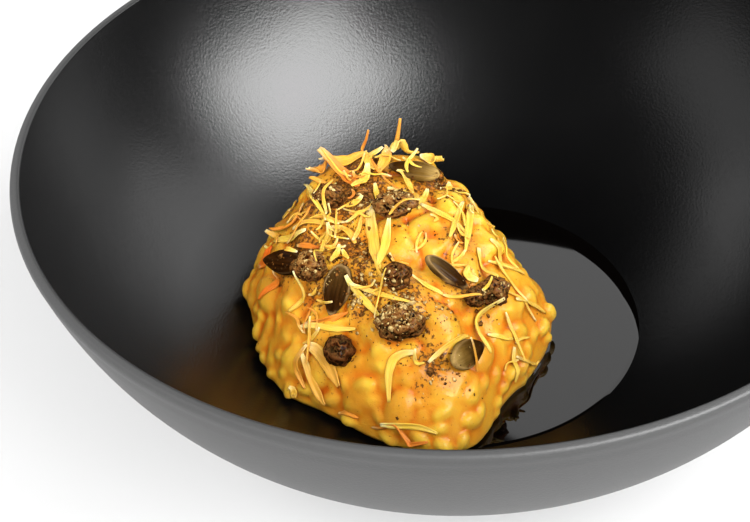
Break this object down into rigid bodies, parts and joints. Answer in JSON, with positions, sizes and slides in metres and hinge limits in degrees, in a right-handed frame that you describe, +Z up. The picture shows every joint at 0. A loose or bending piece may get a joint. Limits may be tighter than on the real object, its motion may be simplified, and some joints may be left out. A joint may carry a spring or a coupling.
{
  "type": "plated risotto in a bowl",
  "caption": "Carrot risotto heaped in a wide matt black bowl beside a dark pool of sauce, topped with pumpkin seeds, fried berries and cut flower petals.",
  "frame": {"origin": "middle of the foot ring's underside, which is the middle of the bowl's underside on the table", "axes": "+Z up; -Y is the side from which the heap is seen; +X to that viewer's right, where the pool of sauce shows"},
  "size_m": [0.2302, 0.2302, 0.0839],
  "materials": {
    "black_glaze": "matt black glaze, slightly pebbled",
    "dark_jus": "still, dark and mirror glossy",
    "carrot_cream": "creamy, wet gloss over the grains",
    "seed_skin": "toasted olive skin with a satin shine",
    "berry_skin": "dark wrinkled skin, oily in places",
    "petal_yellow": "soft satin petal"
  },
  "bodies": {
    "root": {"bowl": "black_glaze", "sauce": "dark_jus", "risotto": "carrot_cream", "fried_berry_1": "berry_skin", "fried_berry_2": "berry_skin", "fried_berry_3": "berry_skin", "fried_berry_4": "berry_skin", "fried_berry_5": "berry_skin", "fried_berry_6": "berry_skin", "fried_berry_7": "berry_skin", "fried_berry_8": "berry_skin", "fried_berry_9": "berry_skin", "petal_01": "petal_yellow", "petal_02": "petal_yellow", "petal_03": "petal_yellow", "petal_04": "petal_yellow", "petal_05": "petal_yellow", "petal_06": "petal_yellow", "petal_07": "petal_yellow", "petal_08": "petal_yellow", "petal_09": "petal_yellow", "petal_10": "petal_yellow", "petal_11": "petal_yellow", "petal_12": "petal_yellow", "petal_13": "petal_yellow", "petal_14": "petal_yellow", "petal_15": "petal_yellow", "petal_16": "petal_yellow", "petal_17": "petal_yellow", "petal_18": "petal_yellow", "petal_19": "petal_yellow", "petal_20": "petal_yellow", "petal_21": "petal_yellow", "petal_22": "petal_yellow", "petal_23": "petal_yellow", "petal_24": "petal_yellow", "petal_25": "petal_yellow", "petal_26": "petal_yellow", "petal_27": "petal_yellow", "petal_28": "petal_yellow", "petal_29": "petal_yellow", "petal_30": "petal_yellow", "petal_31": "petal_yellow", "petal_32": "petal_yellow", "petal_33": "petal_yellow", "petal_34": "petal_yellow", "petal_35": "petal_yellow", "petal_36": "petal_yellow", "petal_37": "petal_yellow", "petal_38": "petal_yellow", "petal_39": "petal_yellow", "petal_40": "petal_yellow", "petal_41": "petal_yellow", "petal_42": "petal_yellow", "petal_43": "petal_yellow", "pumpkin_seed_1": "seed_skin", "pumpkin_seed_2": "seed_skin", "pumpkin_seed_3": "seed_skin", "pumpkin_seed_4": "seed_skin", "pumpkin_seed_5": "seed_skin"}
  },
  "joints": []
}
